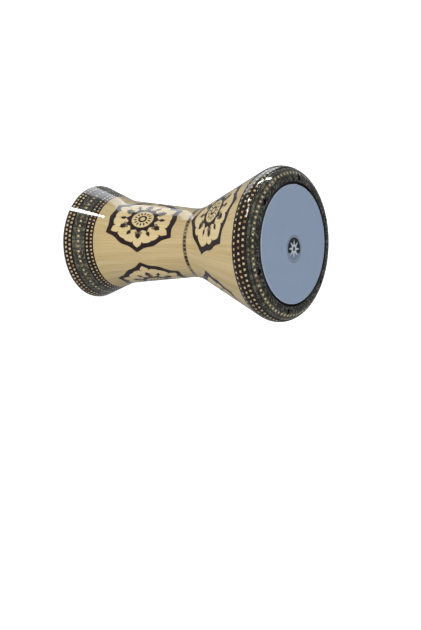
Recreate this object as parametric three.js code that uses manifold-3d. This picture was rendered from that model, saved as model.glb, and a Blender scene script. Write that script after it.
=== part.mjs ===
// A goblet drum of the darbuka kind: a cast aluminium shell dressed in wood veneer, inlaid medallions
// and mosaic bands, with a plastic head that a ring pulls down by six screws.
// Millimetres, +Z up along the drum's axis, standing on its foot, origin in the middle of the foot.
import * as THREE from "three";
import { mergeVertices } from "three/addons/utils/BufferGeometryUtils.js";
import Module from "manifold-3d";

const wasm = await Module();
wasm.setup();

// ---- Driving dimensions ------------------------------------------------------------------------

const TURNED_SEGMENTS = 36; // round the drum
const SMALL_SEGMENTS = 12; // round a screw
const CORNER_STEPS = 3; // along each rounded corner of the outline
const SHOULDER_STEPS = 4; // along each stretch of the round shoulder
const FILM_CORNER_STEPS = 2; // along the film's bend over the casting's edge
const GAP = 0.3; // between two pieces that touch
const CUT = 1; // how far a cut runs past the face that it opens
const SHORTEST = 0.5; // step between two heights of an outline

const drum = {
  height: 465.5, // top of the head above the floor
  footRadius: 112,
  flare: { radius: 82.6, height: 79.2, rounding: 100 }, // where the foot's flare meets the tube
  neck: { radius: 64.2, height: 262.5, rounding: 95 }, // where the tube meets the bowl
  wall: 3.6, // of the casting
};
const footLip = { height: 3, rounding: 1.5, width: 8.4 };
const skin = { thickness: 1, glue: 0.4 }; // veneer, inlays and mosaic on the casting
const bed = skin.thickness + skin.glue;

const bands = {
  footMosaicTop: 59,
  neckRingBottom: 260,
  neckRingTop: 269.5,
  bowlMosaicBottom: 422.5,
};

const head = { radius: 111, film: 0.3, edgeRounding: 3, proud: 0.8 }; // proud of the ring's top
const bearing = { wall: 4 }; // the casting's edge that the film is stretched over
const hoop = { width: 5.7, height: 7.5, innerWall: 0.9, slot: 1.4, slotDepth: 4.5, drop: 9.2 };
const channel = { inside: 1, outside: 0.6, depth: 5 }; // clearances beside the hoop, and depth in the ledge
const filmEnd = 1; // above the floor of the hoop's slot

const shoulder = { radius: 26, beyondHead: 8 }; // the round outer edge, centred outside the head
const ring = { underside: 12, seam: 1.5, lip: 2.8, lipTop: 5, lipRounding: 1.6, wellWall: 1.2 };
const ledge = { thickness: 10 };

const screw = { count: 6, radius: 3, length: 22, tip: 0.8 };
const screwHead = { radius: 5, height: 4, chamfer: 0.4, key: 4, keyDepth: 2.4 };
const washer = { radius: 5.2, thickness: 1 };
const wellClearance = 0.5; // round a washer in its well
const wellFloor = 2.9; // of the ring, under a washer
const insert = { wall: 1.5, length: 17 };
const boss = { wall: 3.2 };

const medallion = { count: 3, firstAngle: -90, bulge: 1.5, dip: 2.5, steps: 4 };
// Each lies flat when unrolled, on an ellipse of six corners: along the drum, and round it.
const tubeMedallion = { height: 158, along: 86, round: 68, firstCorner: 90 };
const bowlMedallion = { height: 341, along: 76, round: 90, firstCorner: 0 };

// ---- Places that follow from them --------------------------------------------------------------

const toDegrees = THREE.MathUtils.radToDeg;
const ringTop = drum.height - head.proud;
const shoulderCentre = new THREE.Vector2(head.radius + shoulder.beyondHead, ringTop - shoulder.radius);
const ringUnderside = ringTop - ring.underside;
const ledgeTop = ringUnderside - ring.seam;
const bearingRadius = head.radius - head.film - GAP;
const filmCorner = new THREE.Vector2(head.radius - head.edgeRounding, drum.height - head.edgeRounding);
const hoopTop = drum.height - hoop.drop;
const hoopInner = bearingRadius + channel.inside;
const hoopOuter = hoopInner + hoop.width;
const recessRadius = hoopOuter + channel.outside;
const channelFloor = ledgeTop - channel.depth;
const ledgeUnderside = ledgeTop - ledge.thickness;
const wellRadius = washer.radius + wellClearance;
const screwCircle = recessRadius + ring.wellWall + wellRadius;
const wellFloorTop = ringUnderside + wellFloor;
const screwHeadBottom = wellFloorTop + GAP + washer.thickness + GAP;
const insertInner = screw.radius + GAP;
const insertOuter = insertInner + insert.wall;
const lipTopRadius = head.radius + ring.lipTop;
const lipRadius = head.radius + ring.lip;
const skinEnd = 90 + toDegrees(Math.asin((shoulderCentre.x - lipTopRadius) / shoulder.radius));

// ---- Shaping tools -----------------------------------------------------------------------------

const vec = (x, y) => new THREE.Vector2(x, y);

// Points along an arc round a centre, from one angle to another, in degrees.
function arc(centre, radius, from, to, steps) {
  return Array.from({ length: steps + 1 }, (_, i) => {
    const angle = THREE.MathUtils.degToRad(from + ((to - from) * i) / steps);
    return vec(centre.x + radius * Math.cos(angle), centre.y + radius * Math.sin(angle));
  });
}

// The corner between two straight stretches, rounded, and no longer than either stretch allows.
function roundedCorner(before, corner, after, rounding) {
  const back = before.clone().sub(corner);
  const ahead = after.clone().sub(corner);
  const half = Math.abs(back.angleTo(ahead)) / 2;
  const reach = Math.min(rounding / Math.tan(half), 0.45 * back.length(), 0.45 * ahead.length());
  const radius = reach * Math.tan(half);
  const middle = back.clone().normalize().add(ahead.clone().normalize()).normalize();
  const centre = corner.clone().addScaledVector(middle, radius / Math.sin(half));
  const angleOf = (side) => {
    const foot = corner.clone().addScaledVector(side.clone().normalize(), reach).sub(centre);
    return toDegrees(Math.atan2(foot.y, foot.x));
  };
  const start = angleOf(back);
  const turn = ((angleOf(ahead) - start + 540) % 360) - 180;
  return arc(centre, radius, start, start + turn, CORNER_STEPS);
}

// Turns an outline of (radius, height) points round the drum's axis.
function turned(points, segments = TURNED_SEGMENTS) {
  return new THREE.LatheGeometry(points, segments).rotateX(Math.PI / 2);
}

// The same for an outline that closes on itself.
const turnedRing = (points, segments) => turned([...points, points[0]], segments);

function solid(geometry) {
  const bare = geometry.clone();
  bare.deleteAttribute("normal");
  bare.deleteAttribute("uv");
  const merged = mergeVertices(bare, 1e-4);
  return new wasm.Manifold(
    new wasm.Mesh({
      numProp: 3,
      vertProperties: new Float32Array(merged.attributes.position.array),
      triVerts: new Uint32Array(merged.index.array),
    }),
  );
}

function geometryOf(body) {
  const { vertProperties, triVerts } = body.getMesh();
  return new THREE.BufferGeometry()
    .setAttribute("position", new THREE.BufferAttribute(vertProperties, 3))
    .setIndex(new THREE.BufferAttribute(triVerts, 1));
}

// An upright cylinder between two heights, at an angle round the drum.
function post(radius, bottom, top, distance = 0, angle = 0, segments = SMALL_SEGMENTS) {
  const turn = THREE.MathUtils.degToRad(angle);
  return new THREE.CylinderGeometry(radius, radius, top - bottom, segments)
    .rotateX(Math.PI / 2)
    .translate(distance * Math.cos(turn), distance * Math.sin(turn), (bottom + top) / 2);
}

// Angles evenly round the drum, with the first at the first medallion.
function anglesRound(count) {
  return Array.from({ length: count }, (_, i) => medallion.firstAngle + (360 / count) * i);
}

const screwAngles = anglesRound(screw.count);

// The same upright cylinder at every screw, as one body.
function postsAtScrews(radius, bottom, top) {
  const posts = screwAngles.map((angle) => solid(post(radius, bottom, top, screwCircle, angle)));
  return posts.reduce((joined, next) => joined.add(next));
}

// ---- The drum's outline ------------------------------------------------------------------------

const footEdge = vec(drum.footRadius, footLip.height);
const flareCorner = vec(drum.flare.radius, drum.flare.height);
const neckCorner = vec(drum.neck.radius, drum.neck.height);

// The bowl's straight side leaves the neck and touches the round shoulder at this angle.
const toShoulder = shoulderCentre.clone().sub(neckCorner);
const touchAngle = toDegrees(
  Math.atan2(toShoulder.y, toShoulder.x) + Math.acos(shoulder.radius / toShoulder.length()) - Math.PI,
);
const shoulderAngle = (height, radius = shoulder.radius) =>
  toDegrees(Math.asin((height - shoulderCentre.y) / radius));
const ledgeAngle = shoulderAngle(ledgeTop);
const shoulderArc = arc(shoulderCentre, shoulder.radius, touchAngle, ledgeAngle, SHOULDER_STEPS);

// The finished surface from the foot's lip to the top of the shell's ledge.
const outline = [
  footEdge,
  ...roundedCorner(footEdge, flareCorner, neckCorner, drum.flare.rounding),
  ...roundedCorner(flareCorner, neckCorner, shoulderArc[0], drum.neck.rounding),
  ...shoulderArc,
];

function outlineRadius(height) {
  const above = Math.max(1, outline.findIndex((point) => point.y >= height - 1e-6));
  const [low, high] = [outline[above - 1], outline[above]];
  return low.x + ((high.x - low.x) * (height - low.y)) / (high.y - low.y);
}

// The outline between two heights, moved in by a depth.
function stretch(bottom, top, depth) {
  const between = outline.filter((point) => point.y > bottom + SHORTEST && point.y < top - SHORTEST);
  const ends = [bottom, top].map((height) => vec(outlineRadius(height), height));
  return [ends[0], ...between, ends[1]].map((point) => vec(point.x - depth, point.y));
}

// A skin glued on the casting between two heights.
function sleeve(bottom, top) {
  return turnedRing([...stretch(bottom, top, 0), ...stretch(bottom, top, skin.thickness).reverse()]);
}

// ---- Medallions: a six-cornered ogee outline, cut out of the veneer -----------------------------

// A side from one corner to the next: it swells in the middle and pulls in beside each corner's point.
function ogeeSide(from, to) {
  const along = to.clone().sub(from);
  const outward = vec(along.y, -along.x).normalize();
  return Array.from({ length: medallion.steps }, (_, i) => {
    const share = i / medallion.steps;
    const swell = medallion.bulge * Math.sin(Math.PI * share) ** 2;
    const dip = medallion.dip * Math.sin(2 * Math.PI * share) ** 2;
    return from.clone().addScaledVector(along, share).addScaledVector(outward, swell - dip);
  });
}

// The flat outline: x runs along the drum and y round it, from the medallion's middle.
function medallionOutline({ along, round, firstCorner }) {
  const corners = Array.from({ length: 6 }, (_, i) => {
    const angle = THREE.MathUtils.degToRad(firstCorner + 60 * i);
    return vec(along * Math.cos(angle), round * Math.sin(angle));
  });
  return corners.flatMap((corner, i) => ogeeSide(corner, corners[(i + 1) % 6]));
}

// Rolls a flat point onto the cone that the outline makes at a height: gives the angle round the
// drum, in radians, and the height. The cone unrolls about its tip, which is `tip` away.
function rolledOn(height, point) {
  const rise = 10;
  const radius = outlineRadius(height);
  const slope = Math.atan((outlineRadius(height + rise) - outlineRadius(height - rise)) / (2 * rise));
  const tip = radius / Math.sin(slope);
  const fromTip = vec(tip + point.x, point.y);
  const reach = Math.sign(tip) * fromTip.length();
  const turn = Math.atan2(Math.sign(tip) * fromTip.y, Math.sign(tip) * fromTip.x);
  return { turn: turn / Math.sin(slope), height: height + (reach - tip) * Math.cos(slope) };
}

// A wedge that stands out from the drum's axis through a medallion's outline.
function medallionWedge(pattern, angle, margin) {
  const grown = medallionOutline(pattern).map((p) => p.multiplyScalar(1 + margin / p.length()));
  const shape = new THREE.Shape(
    grown.map((point) => {
      const { turn, height } = rolledOn(pattern.height, point);
      return vec(turn, height);
    }),
  );
  const wedge = new THREE.ExtrudeGeometry(shape, { depth: 1, bevelEnabled: false });
  const corner = wedge.attributes.position;
  const reach = [drum.neck.radius / 3, 4 * drum.footRadius]; // from inside the shell to well outside it
  for (let i = 0; i < corner.count; i++) {
    const turn = corner.getX(i) + THREE.MathUtils.degToRad(angle);
    const radius = reach[Math.round(corner.getZ(i))];
    corner.setXYZ(i, radius * Math.cos(turn), radius * Math.sin(turn), corner.getY(i));
  }
  return solid(wedge);
}

// ---- Pieces ------------------------------------------------------------------------------------

// The casting: foot lip, tube, neck, bowl, a ledge for the ring's screws and the edge under the head.
function shell() {
  const { wall } = drum;
  const outside = stretch(footLip.height, ledgeTop, bed);
  const inside = stretch(footLip.height, ledgeUnderside, bed + wall).reverse();
  const lipInner = drum.footRadius - footLip.width;
  const edge = arc(filmCorner, head.edgeRounding - head.film - GAP, 0, 90, FILM_CORNER_STEPS);
  const casting = turnedRing([
    vec(lipInner, 0),
    vec(drum.footRadius - footLip.rounding, 0),
    vec(drum.footRadius, footLip.rounding),
    vec(drum.footRadius, footLip.height - GAP),
    vec(outside[0].x, footLip.height - GAP),
    ...outside.slice(1),
    vec(bearingRadius, ledgeTop),
    ...edge,
    vec(bearingRadius - bearing.wall, filmCorner.y),
    vec(bearingRadius - bearing.wall, ledgeUnderside),
    ...inside,
  ]);
  const top = ledgeTop - GAP;
  const bottom = ledgeTop - insert.length;
  const holeRadius = insertOuter + GAP;
  const hoopChannel = turnedRing([
    vec(bearingRadius, channelFloor),
    vec(recessRadius, channelFloor),
    vec(recessRadius, ledgeTop + CUT),
    vec(bearingRadius, ledgeTop + CUT),
  ]);
  const body = solid(casting)
    .add(postsAtScrews(holeRadius + boss.wall, bottom, top))
    .subtract(solid(hoopChannel))
    .subtract(postsAtScrews(holeRadius, bottom - CUT, ledgeTop + CUT));
  return geometryOf(body);
}

// The ring that pulls the head down: a round outer edge, a flat underside and a lip over the hoop.
function headRing() {
  const bedded = shoulder.radius - bed;
  const underAngle = shoulderAngle(ringUnderside, bedded);
  const section = turnedRing([
    vec(recessRadius, ringUnderside),
    ...arc(shoulderCentre, bedded, underAngle, skinEnd, SHOULDER_STEPS),
    vec(lipTopRadius - GAP, ringTop),
    vec(lipRadius + ring.lipRounding, ringTop),
    vec(lipRadius, ringTop - ring.lipRounding),
    vec(lipRadius, hoopTop + GAP),
    vec(recessRadius, hoopTop + GAP),
  ]);
  const body = solid(section)
    .subtract(postsAtScrews(screw.radius + GAP, ringUnderside - CUT, ringTop))
    .subtract(postsAtScrews(wellRadius, wellFloorTop, ringTop + CUT));
  return geometryOf(body);
}

// The ring's mosaic: a skin on its round edge, pierced by the screw wells.
function ringMosaic() {
  const start = shoulderAngle(ringUnderside + GAP);
  const inner = shoulder.radius - skin.thickness;
  const innerStart = shoulderAngle(ringUnderside + GAP, inner);
  const band = turnedRing([
    ...arc(shoulderCentre, shoulder.radius, start, skinEnd, SHOULDER_STEPS),
    ...arc(shoulderCentre, inner, skinEnd, innerStart, SHOULDER_STEPS),
  ]);
  return geometryOf(solid(band).subtract(postsAtScrews(wellRadius, ringUnderside, ringTop + CUT)));
}

// The head: film stretched flat, turned down over the casting's edge and out into the hoop's slot.
function headFilm() {
  const slotMiddle = hoopInner + hoop.innerWall + hoop.slot / 2;
  const side = (depth) => [
    vec(0, drum.height - depth),
    ...arc(filmCorner, head.edgeRounding - depth, 90, 0, FILM_CORNER_STEPS),
    vec(slotMiddle + head.film / 2 - depth, hoopTop),
    vec(slotMiddle + head.film / 2 - depth, hoopTop - hoop.slotDepth + filmEnd),
  ];
  return turned([...side(0), ...side(head.film).reverse()].reverse());
}

// The hoop that grips the film: a channel open at the top.
function headHoop() {
  const slotInner = hoopInner + hoop.innerWall;
  return turnedRing([
    vec(hoopInner, hoopTop - hoop.height),
    vec(hoopOuter, hoopTop - hoop.height),
    vec(hoopOuter, hoopTop),
    vec(slotInner + hoop.slot, hoopTop),
    vec(slotInner + hoop.slot, hoopTop - hoop.slotDepth),
    vec(slotInner, hoopTop - hoop.slotDepth),
    vec(slotInner, hoopTop),
    vec(hoopInner, hoopTop),
  ]);
}

// A low-headed screw with a six-sided key socket, its head's underside at height 0.
function tuningScrew() {
  const profile = [
    vec(0, -screw.length),
    vec(screw.radius - screw.tip, -screw.length),
    vec(screw.radius, screw.tip - screw.length),
    vec(screw.radius, 0),
    vec(screwHead.radius, 0),
    vec(screwHead.radius, screwHead.height - screwHead.chamfer),
    vec(screwHead.radius - screwHead.chamfer, screwHead.height),
    vec(0, screwHead.height),
  ];
  const keyRadius = screwHead.key / 2 / Math.cos(Math.PI / 6);
  const socket = post(keyRadius, screwHead.height - screwHead.keyDepth, screwHead.height + CUT, 0, 0, 6);
  return geometryOf(solid(turned(profile, SMALL_SEGMENTS)).subtract(solid(socket)));
}

function plainRing(inner, outer, height) {
  return turnedRing([vec(inner, 0), vec(outer, 0), vec(outer, height), vec(inner, height)], SMALL_SEGMENTS);
}

// ---- Assembly ----------------------------------------------------------------------------------

const finish = {
  casting: new THREE.MeshStandardMaterial({ color: 0xa9abab, roughness: 0.55, metalness: 0.9 }),
  ring: new THREE.MeshStandardMaterial({ color: 0x1c1a18, roughness: 0.3, metalness: 0.6 }),
  veneer: new THREE.MeshStandardMaterial({ color: 0xd6bd88, roughness: 0.25, metalness: 0 }),
  medallion: new THREE.MeshStandardMaterial({ color: 0xe6cf98, roughness: 0.25, metalness: 0 }),
  mosaic: new THREE.MeshStandardMaterial({ color: 0x4a4234, roughness: 0.2, metalness: 0 }),
  film: new THREE.MeshStandardMaterial({ color: 0x8c9bb0, roughness: 0.5, metalness: 0 }),
  hoop: new THREE.MeshStandardMaterial({ color: 0xc4c6c8, roughness: 0.35, metalness: 0.95 }),
  steel: new THREE.MeshStandardMaterial({ color: 0x8d8f92, roughness: 0.3, metalness: 1 }),
};

const darbuka = new THREE.Group();

function place(name, geometry, material, parent = darbuka) {
  const mesh = new THREE.Mesh(geometry, material);
  mesh.name = name;
  parent.add(mesh);
  return mesh;
}

// Six places round the screw circle, each a group turned to its screw's angle.
const stations = screwAngles.map((angle) => {
  const station = new THREE.Group();
  station.rotation.z = THREE.MathUtils.degToRad(angle);
  darbuka.add(station);
  return station;
});

// A veneer sleeve with a window for each medallion, and the medallions that fill the windows.
function veneerWithMedallions(name, bottom, top, pattern) {
  const whole = solid(sleeve(bottom, top));
  let veneer = whole;
  anglesRound(medallion.count).forEach((angle, i) => {
    const inlay = whole.intersect(medallionWedge(pattern, angle, 0));
    place(`${name}_medallion_${i + 1}`, geometryOf(inlay), finish.medallion);
    veneer = veneer.subtract(medallionWedge(pattern, angle, GAP));
  });
  place(`${name}_veneer`, geometryOf(veneer), finish.veneer);
}

place("shell", shell(), finish.casting);
place("foot_mosaic", sleeve(footLip.height, bands.footMosaicTop), finish.mosaic);
veneerWithMedallions("tube", bands.footMosaicTop + GAP, bands.neckRingBottom, tubeMedallion);
place("neck_ring", sleeve(bands.neckRingBottom + GAP, bands.neckRingTop - GAP), finish.mosaic);
veneerWithMedallions("bowl", bands.neckRingTop, bands.bowlMosaicBottom - GAP, bowlMedallion);
place("bowl_mosaic", sleeve(bands.bowlMosaicBottom, ledgeTop), finish.mosaic);

place("head_film", headFilm(), finish.film);
place("head_hoop", headHoop(), finish.hoop);
place("head_ring", headRing(), finish.ring);
place("ring_mosaic", ringMosaic(), finish.mosaic);

// Each is made once, and every station has its own mesh of it.
const bushShape = plainRing(insertInner, insertOuter, insert.length);
const washerShape = plainRing(screw.radius + GAP, washer.radius, washer.thickness);
const screwShape = tuningScrew();

stations.forEach((station, i) => {
  const bush = place(`thread_insert_${i + 1}`, bushShape, finish.steel, station);
  bush.position.set(screwCircle, 0, ledgeTop - insert.length);
  const disc = place(`screw_washer_${i + 1}`, washerShape, finish.steel, station);
  disc.position.set(screwCircle, 0, wellFloorTop + GAP);
  const bolt = place(`tuning_screw_${i + 1}`, screwShape, finish.steel, station);
  bolt.position.set(screwCircle, 0, screwHeadBottom);
});

export default darbuka;
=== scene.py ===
"""A goblet drum of the darbuka kind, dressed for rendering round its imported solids.

Every length is in metres and in the drum's own frame: +Z up along its axis, the floor at zero and
the axis through the origin. Patterns that follow a band are given in millimetres of arc along it.
"""

import logging
import math
from dataclasses import dataclass, field
from enum import Enum

import bmesh
import bpy
import numpy as np
from mathutils import Matrix, Vector


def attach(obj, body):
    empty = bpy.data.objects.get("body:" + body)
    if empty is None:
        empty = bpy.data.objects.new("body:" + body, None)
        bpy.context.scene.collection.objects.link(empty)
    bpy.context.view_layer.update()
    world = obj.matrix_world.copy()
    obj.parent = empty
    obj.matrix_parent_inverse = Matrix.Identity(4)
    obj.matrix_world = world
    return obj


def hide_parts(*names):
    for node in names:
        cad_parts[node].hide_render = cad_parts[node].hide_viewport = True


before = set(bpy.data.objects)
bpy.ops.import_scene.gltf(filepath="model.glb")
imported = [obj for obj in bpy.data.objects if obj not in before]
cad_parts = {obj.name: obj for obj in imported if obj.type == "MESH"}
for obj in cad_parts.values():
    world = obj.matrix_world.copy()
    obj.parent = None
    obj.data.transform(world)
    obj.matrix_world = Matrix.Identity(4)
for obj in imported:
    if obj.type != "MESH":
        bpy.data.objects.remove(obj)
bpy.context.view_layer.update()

log = logging.getLogger("darbuka")
MM = 0.001
TURN = 2 * math.pi
SCREW_ANGLES = tuple(math.radians(-90 + 60 * i) for i in range(6))
SCREW_CIRCLE = 124.6 * MM
BOSS_BOTTOM = 434.2 * MM
MEDALLION_ANGLES = tuple(math.radians(-90 + 120 * i) for i in range(3))
THIRD = TURN / 3
CREASE = math.radians(35)  # an edge that bends further is shaded sharp
WELD = 2e-6  # points nearer to each other than this become one
SLIVER = 1e-7  # faces thinner than this go


# ---- Meshes --------------------------------------------------------------------------------------


@dataclass
class Sheet:
    """Quads before they go into Blender.

    points is (n, 3); quads is (m, 4) of point numbers; layout is (m, 4, 2), the place of each
    quad's corner in its pattern; extra holds more numbers for each point, by name.
    """

    points: np.ndarray
    quads: np.ndarray
    layout: np.ndarray
    extra: dict[str, np.ndarray] = field(default_factory=dict)

    def __add__(self, other: "Sheet") -> "Sheet":
        """Puts two sheets side by side in one mesh.

        Args:
            other: the second sheet, with the same extra numbers.

        Returns:
            Both in one.
        """
        return Sheet(
            np.vstack([self.points, other.points]),
            np.vstack([self.quads, other.quads + len(self.points)]),
            np.vstack([self.layout, other.layout]),
            {name: np.concatenate([self.extra[name], other.extra[name]]) for name in self.extra},
        )

    def moved(self, distance: float, angle: float, height: float = 0.0) -> "Sheet":
        """The sheet shifted to a distance from the axis at an angle round it, and raised."""
        shift = np.array([distance * math.cos(angle), distance * math.sin(angle), height])
        return Sheet(self.points + shift, self.quads, self.layout, self.extra)

    def lined(self, inner: "Sheet", layout: np.ndarray, edge: np.ndarray) -> "Sheet":
        """Joins a sheet to its lining by walls.

        Args:
            inner: the lining, a grid like the sheet's own.
            layout: (rows, columns, 2), the grid's pattern.
            edge: numbers of the points from which a wall runs to the next point of their row.

        Returns:
            Sheet, lining and walls in one.
        """
        under = len(self.points)
        walls = np.column_stack([edge, edge + 1, edge + 1 + under, edge + under])
        both = self + inner
        both.quads = np.vstack([both.quads, walls])
        both.layout = np.vstack([both.layout, layout.reshape(-1, 2)[walls % under]])
        return both


def grid_sheet(points: np.ndarray, layout: np.ndarray, **extra: np.ndarray) -> Sheet:
    """Makes a sheet of a grid.

    Args:
        points: (rows, columns, 3).
        layout: (rows, columns, 2).
        extra: more numbers, each (rows, columns).

    Returns:
        The sheet, with one quad for each cell of the grid.
    """
    rows, columns = points.shape[:2]
    first = (np.arange(rows - 1)[:, None] * columns + np.arange(columns - 1)[None, :]).reshape(-1, 1)
    quads = first + np.array([0, 1, columns + 1, columns])
    return Sheet(
        points.reshape(-1, 3),
        quads,
        layout.reshape(-1, 2)[quads],
        {name: values.reshape(-1) for name, values in extra.items()},
    )


def around(radius: np.ndarray, height: np.ndarray, angle: np.ndarray) -> np.ndarray:
    """Points at a radius and a height, at an angle round the axis."""
    return np.stack([radius * np.cos(angle), radius * np.sin(angle), height + 0 * angle], axis=-1)


def turned(profile: np.ndarray, steps: int, first_arc: float = 0.0) -> Sheet:
    """Turns a profile round the axis: each of its points goes round a whole circle.

    Args:
        profile: (n, 2) of radius and height; its last point repeats the first if it closes.
        steps: how many quads go round.
        first_arc: arc length in millimetres at the profile's first point.

    Returns:
        The sheet; its layout is turns round the axis, and millimetres along the profile.
    """
    angle = TURN * np.arange(steps + 1) / steps
    lengths = np.hypot(*np.diff(profile, axis=0).T)
    along = first_arc + np.concatenate([[0], np.cumsum(lengths)]) / MM
    radius, height = (np.broadcast_to(profile[:, k, None], (len(profile), steps + 1)) for k in (0, 1))
    turns = np.broadcast_to(np.arange(steps + 1) / steps, radius.shape)
    layout = np.stack([turns, np.broadcast_to(along[:, None], radius.shape)], axis=-1)
    return grid_sheet(around(radius, height, np.broadcast_to(angle, radius.shape)), layout)


def arc(centre: tuple[float, float], radius: float, start: float, end: float, steps: int) -> np.ndarray:
    """Points along an arc round a centre, between two angles in degrees."""
    angle = np.radians(np.linspace(start, end, steps + 1))
    return np.column_stack([centre[0] + radius * np.cos(angle), centre[1] + radius * np.sin(angle)])


def path(*parts: "np.ndarray | tuple[float, float]") -> np.ndarray:
    """Joins points and runs of points into one profile."""
    return np.vstack([np.atleast_2d(np.asarray(part, float)) for part in parts])


def closed(*parts: "np.ndarray | tuple[float, float]") -> np.ndarray:
    """Joins points and runs of points into a profile that returns to its first point."""
    whole = path(*parts)
    return np.vstack([whole, whole[:1]])


def refined(profile: np.ndarray, longest: float) -> np.ndarray:
    """Cuts each stretch of a profile into equal parts.

    Args:
        profile: (n, 2) of radius and height.
        longest: the length that no part passes.

    Returns:
        The profile with more points.
    """
    pieces = [profile[:1]]
    for here, there in zip(profile[:-1], profile[1:]):
        parts = max(1, math.ceil(float(np.hypot(*(there - here))) / longest))
        share = np.arange(1, parts + 1)[:, None] / parts
        pieces.append(here + (there - here) * share)
    return np.vstack(pieces)


def put_in_blender(name: str, sheet: Sheet) -> bpy.types.Object:
    """Makes a sheet a Blender object at the origin: welds its seams and poles, and faces it outwards.

    Args:
        name: the piece's name.
        sheet: its quads.

    Returns:
        The new object.
    """
    mesh = bpy.data.meshes.new(name)
    mesh.vertices.add(len(sheet.points))
    mesh.vertices.foreach_set("co", sheet.points.astype(np.float32).ravel())
    mesh.loops.add(sheet.quads.size)
    mesh.loops.foreach_set("vertex_index", sheet.quads.astype(np.int32).ravel())
    mesh.polygons.add(len(sheet.quads))
    mesh.polygons.foreach_set("loop_start", np.arange(0, sheet.quads.size, 4, dtype=np.int32))
    mesh.update(calc_edges=True)
    layer = mesh.uv_layers.new(name="layout")
    layer.data.foreach_set("uv", sheet.layout.astype(np.float32).ravel())
    for key, values in sheet.extra.items():
        mesh.attributes.new(key, "FLOAT", "POINT").data.foreach_set("value", values.astype(np.float32))
    edit = bmesh.new()
    edit.from_mesh(mesh)
    bmesh.ops.remove_doubles(edit, verts=edit.verts, dist=WELD)
    bmesh.ops.dissolve_degenerate(edit, dist=SLIVER, edges=edit.edges)
    bmesh.ops.recalc_face_normals(edit, faces=edit.faces)
    edit.to_mesh(mesh)
    edit.free()
    mesh.shade_smooth()
    mesh.set_sharp_from_angle(angle=CREASE)
    piece = bpy.data.objects.new(name, mesh)
    bpy.context.scene.collection.objects.link(piece)
    return piece


# ---- The drum's outline --------------------------------------------------------------------------

LONGEST_SHARE = 0.45  # of a straight stretch that the rounding of its end may take
CORNER_STEPS = 48


def rounded(before: np.ndarray, corner: np.ndarray, after: np.ndarray, radius: float) -> np.ndarray:
    """Rounds a corner with an arc that touches both of the straight stretches that meet there.

    The arc's centre is on the line that halves the corner, its radius over the sine of half the
    corner's angle away. A radius too large for the stretches is made smaller.

    Args:
        before: the far end of one stretch.
        corner: the corner.
        after: the far end of the other.
        radius: the arc's radius.

    Returns:
        (n, 2), the arc's points.
    """
    lengths = np.hypot(*(before - corner)), np.hypot(*(after - corner))
    back, ahead = (before - corner) / lengths[0], (after - corner) / lengths[1]
    half = math.acos(float(back @ ahead)) / 2
    reach = min(radius / math.tan(half), LONGEST_SHARE * min(lengths))
    bend = reach * math.tan(half)
    middle = back + ahead
    centre = corner + middle / np.hypot(*middle) * bend / math.sin(half)
    ends = [corner + side * reach - centre for side in (back, ahead)]
    start, end = (math.degrees(math.atan2(y, x)) for x, y in ends)
    return arc(tuple(centre), bend, start, start + (end - start + 540) % 360 - 180, CORNER_STEPS)


@dataclass(frozen=True)
class Outline:
    """The finished surface's profile, from the foot's lip over tube, neck and bowl to the seam."""

    height: float = 465.5 * MM
    foot: tuple[float, float] = (112 * MM, 3 * MM)
    flare: tuple[float, float] = (82.6 * MM, 79.2 * MM)
    flare_rounding: float = 100 * MM
    neck: tuple[float, float] = (64.2 * MM, 262.5 * MM)
    neck_rounding: float = 95 * MM
    shoulder_radius: float = 26 * MM
    shoulder_centre: tuple[float, float] = (119 * MM, 438.7 * MM)
    seam: tuple[float, float] = (451.2 * MM, 452.7 * MM)

    def shoulder_angle(self, height: float, radius: float) -> float:
        """Angle in degrees at which a circle round the shoulder's centre reaches a height."""
        return math.degrees(math.asin((height - self.shoulder_centre[1]) / radius))

    def points(self) -> np.ndarray:
        """Works out the profile: straight stretches joined by arcs.

        Returns:
            (n, 2) of radius and height, from the foot upwards.
        """
        foot, flare, neck = np.array(self.foot), np.array(self.flare), np.array(self.neck)
        centre = np.array(self.shoulder_centre)
        reach = centre - neck
        touch = math.atan2(reach[1], reach[0]) + math.acos(self.shoulder_radius / np.hypot(*reach)) - math.pi
        top = self.shoulder_angle(self.seam[0], self.shoulder_radius)
        shoulder = arc(self.shoulder_centre, self.shoulder_radius, math.degrees(touch), top, 40)
        return path(foot, rounded(foot, flare, neck, self.flare_rounding),
                    rounded(flare, neck, shoulder[0], self.neck_rounding), shoulder)

    def radius(self, height: np.ndarray) -> np.ndarray:
        """Radius of the finished surface at each height."""
        points = self.points()
        return np.interp(height, points[:, 1], points[:, 0])

    def normal(self, height: np.ndarray) -> tuple[np.ndarray, np.ndarray]:
        """Outward direction of the finished surface: its slope, turned a quarter and made one long.

        Args:
            height: the heights.

        Returns:
            The direction's parts away from the axis and along it.
        """
        rise = 0.4 * MM
        slope = (self.radius(height + rise) - self.radius(height - rise)) / (2 * rise)
        length = np.sqrt(1 + slope**2)
        return 1 / length, -slope / length

    def stretch(self, low: float, high: float, depth: float = 0.0, longest: float = 2 * MM) -> np.ndarray:
        """The profile between two heights, moved inwards.

        Args:
            low: the lower height.
            high: the upper height.
            depth: how far inwards, square to the surface.
            longest: the length that no part of the profile passes.

        Returns:
            (n, 2) of radius and height.
        """
        points = self.points()
        inner = points[(points[:, 1] > low + 0.05 * MM) & (points[:, 1] < high - 0.05 * MM), 1]
        heights = np.concatenate([[low], inner, [high]])
        profile = refined(np.column_stack([self.radius(heights), heights]), longest)
        out, up = self.normal(profile[:, 1])
        if depth == 0:
            return profile
        return profile - depth * np.column_stack([out, up])


OUTLINE = Outline()


# ---- Patterns and finishes -----------------------------------------------------------------------

Colour = tuple[float, float, float]


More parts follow.
